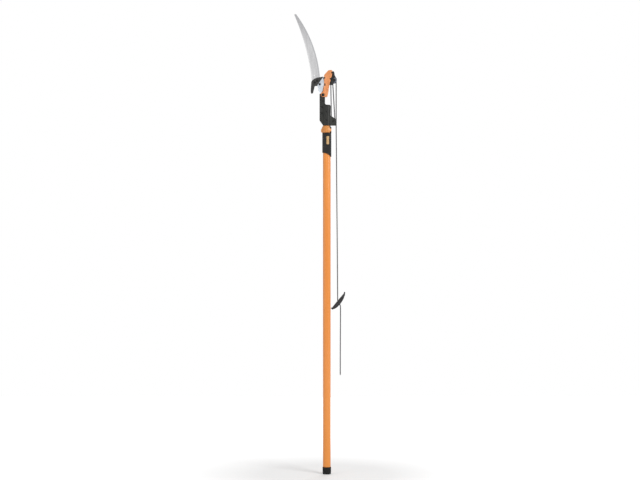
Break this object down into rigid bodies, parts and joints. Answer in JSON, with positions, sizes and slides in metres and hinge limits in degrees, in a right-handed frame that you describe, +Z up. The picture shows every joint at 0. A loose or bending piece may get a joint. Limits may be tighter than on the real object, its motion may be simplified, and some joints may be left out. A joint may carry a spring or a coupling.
{
  "type": "tree pruner pole",
  "caption": "Telescoping tree pruner: orange oval pole with lever lock, hooked rope-drawn cutting head with pulleys, curved saw blade above and a pull handle on the rope.",
  "frame": {"origin": "middle of the end cap's flat foot, on the axis of the pole", "axes": "+Z up along the pole, +X to the rope and pulley side, +Y to the back, away from the cutting blade"},
  "size_m": [0.2441, 0.0463, 2.1848],
  "materials": {
    "fibreglass_orange": "glossy pultruded fibreglass tube",
    "plastic_orange": "moulded plastic, satin",
    "plastic_amber": "moulded plastic, satin",
    "plastic_black": "moulded glass-filled plastic, fine grain",
    "plastic_natural": "plain moulded plastic",
    "plastic_blue_grey": "moulded acetal",
    "rubber_black": "moulded rubber",
    "anodised_black": "black anodised",
    "painted_black": "black oxide and paint",
    "steel_bright": "ground and polished",
    "steel_zinc": "zinc plated",
    "steel_dark": "phosphated",
    "bronze_bush": "sintered bronze",
    "rope_grey": "braided polyester",
    "rope_seal": "melted rope end"
  },
  "bodies": {
    "pole": {"outer_pole": "fibreglass_orange", "end_cap": "rubber_black", "lock_housing": "plastic_black", "clamp_collar": "plastic_black", "guide_sleeve": "plastic_natural", "lock_screws": "steel_zinc", "clamp_pin": "steel_zinc", "button_pin": "steel_zinc", "button_spring": "steel_zinc"},
    "clamp_lever": {"clamp_lever": "plastic_orange"},
    "clamp_shoe": {"clamp_shoe": "plastic_black"},
    "button": {"release_button": "plastic_amber", "latch_pin": "steel_zinc"},
    "head": {"inner_pole": "anodised_black", "slide_plug": "plastic_natural", "head_front": "plastic_black", "head_rear": "plastic_black", "head_screws": "painted_black", "socket_screws": "painted_black", "hook": "painted_black", "saw_blade": "steel_bright", "saw_bolts": "painted_black", "saw_washers": "steel_zinc", "saw_wing_nuts": "steel_zinc", "blade_bolt": "painted_black", "blade_nut": "steel_zinc", "lever_bush": "bronze_bush", "lever_bolt": "painted_black", "lever_nut": "steel_zinc", "return_spring": "steel_zinc", "lower_axle": "steel_dark"},
    "lower_pulley": {"lower_pulley": "plastic_blue_grey"},
    "lever": {"power_lever": "plastic_orange", "pulley_bracket": "plastic_black", "bracket_bolts": "painted_black", "bracket_nuts": "steel_zinc", "lever_link_pin": "steel_dark", "upper_axle": "steel_dark", "rope_knot": "rope_grey"},
    "upper_pulley": {"upper_pulley": "plastic_blue_grey"},
    "link": {"drive_link": "steel_dark"},
    "blade": {"cutting_blade": "steel_bright", "blade_link_pin": "steel_dark"},
    "dead_run": {"rope_dead": "rope_grey"},
    "lower_turn": {"rope_lower_turn": "rope_grey"},
    "mid_run": {"rope_middle": "rope_grey"},
    "upper_turn": {"rope_upper_turn": "rope_grey"},
    "lead_run": {"rope_lead": "rope_grey"},
    "pull_rope": {"rope_haul": "rope_grey", "rope_tip": "rope_seal", "pull_handle": "plastic_black"}
  },
  "joints": [
    {"name": "pole_extend", "type": "slide", "parent": "pole", "child": "head", "axis": [0, 0, 1], "range_m": [0, 1.35]},
    {"name": "clamp_flip", "type": "hinge", "parent": "pole", "child": "clamp_lever", "pos_m": [0.01768, -0.01418, 1.6335], "axis": [0, 0, 1], "range_deg": [0, 95]},
    {"name": "shoe_press", "type": "slide", "parent": "pole", "child": "clamp_shoe", "axis": [0.7071, -0.7071, 0], "range_m": [0, 0.0008]},
    {"name": "button_press", "type": "hinge", "parent": "pole", "child": "button", "pos_m": [0.0045, -0.02275, 1.584], "axis": [-1, 0, 0], "range_deg": [0, 7], "stiffness_Nm_per_rad": 0.3, "springref_deg": -11.46, "deforming": ["button_spring"]},
    {"name": "rope_pull", "type": "slide", "parent": "head", "child": "pull_rope", "axis": [0.0087, 0, -1], "range_m": [0, 0.24]},
    {"name": "lever_swing", "type": "hinge", "parent": "head", "child": "lever", "pos_m": [-0.0185, 0, 1.8], "axis": [0, 1, 0], "range_deg": [0, 66], "stiffness_Nm_per_rad": 1, "springref_deg": -85.94, "deforming": ["return_spring"]},
    {"name": "blade_swing", "type": "hinge", "parent": "head", "child": "blade", "pos_m": [-0.034, 0, 1.851], "axis": [0, 1, 0], "range_deg": [0, 66]},
    {"name": "link_swing", "type": "hinge", "parent": "lever", "child": "link", "pos_m": [0.0035, 0, 1.829], "axis": [0, 1, 0], "range_deg": [-66, 0]},
    {"name": "lower_pulley_spin", "type": "hinge", "parent": "head", "child": "lower_pulley", "pos_m": [0.0305, 0, 1.675], "axis": [0, 1, 0], "continuous": true},
    {"name": "upper_pulley_spin", "type": "hinge", "parent": "lever", "child": "upper_pulley", "pos_m": [0.036, 0, 1.87], "axis": [0, 1, 0], "continuous": true},
    {"name": "dead_run_swing", "type": "hinge", "parent": "head", "child": "dead_run", "pos_m": [0.0305, 0, 1.675], "axis": [0, 1, 0], "range_deg": [0, 13.31], "deforming": ["rope_dead"]},
    {"name": "lower_turn_swing", "type": "hinge", "parent": "head", "child": "lower_turn", "pos_m": [0.0305, 0, 1.675], "axis": [0, 1, 0], "range_deg": [0, 13.75]},
    {"name": "mid_run_swing", "type": "hinge", "parent": "head", "child": "mid_run", "pos_m": [0.0305, 0, 1.675], "axis": [0, 1, 0], "range_deg": [0, 14.2], "deforming": ["rope_middle"]},
    {"name": "upper_turn_swing", "type": "hinge", "parent": "lever", "child": "upper_turn", "pos_m": [0.036, 0, 1.87], "axis": [0, 1, 0], "range_deg": [-51.7, 0]},
    {"name": "lead_run_swing", "type": "hinge", "parent": "head", "child": "lead_run", "pos_m": [0.0445, 0, 1.6545], "axis": [0, 1, 0], "range_deg": [0, 14.38], "deforming": ["rope_lead"]}
  ],
  "couplings": [
    {"joint": "shoe_press", "follows": "clamp_flip", "m_per_rad": 0.000482},
    {"joint": "lever_swing", "follows": "rope_pull", "rad_per_m": 4.7996},
    {"joint": "blade_swing", "follows": "rope_pull", "rad_per_m": 4.7996},
    {"joint": "link_swing", "follows": "rope_pull", "rad_per_m": -4.7996},
    {"joint": "lower_pulley_spin", "follows": "rope_pull", "rad_per_m": -31},
    {"joint": "upper_pulley_spin", "follows": "rope_pull", "rad_per_m": 69},
    {"joint": "dead_run_swing", "follows": "rope_pull", "rad_per_m": 0.967},
    {"joint": "lower_turn_swing", "follows": "rope_pull", "rad_per_m": 0.999},
    {"joint": "mid_run_swing", "follows": "rope_pull", "rad_per_m": 1.032},
    {"joint": "upper_turn_swing", "follows": "rope_pull", "rad_per_m": -3.759},
    {"joint": "lead_run_swing", "follows": "rope_pull", "rad_per_m": 1.045}
  ]
}
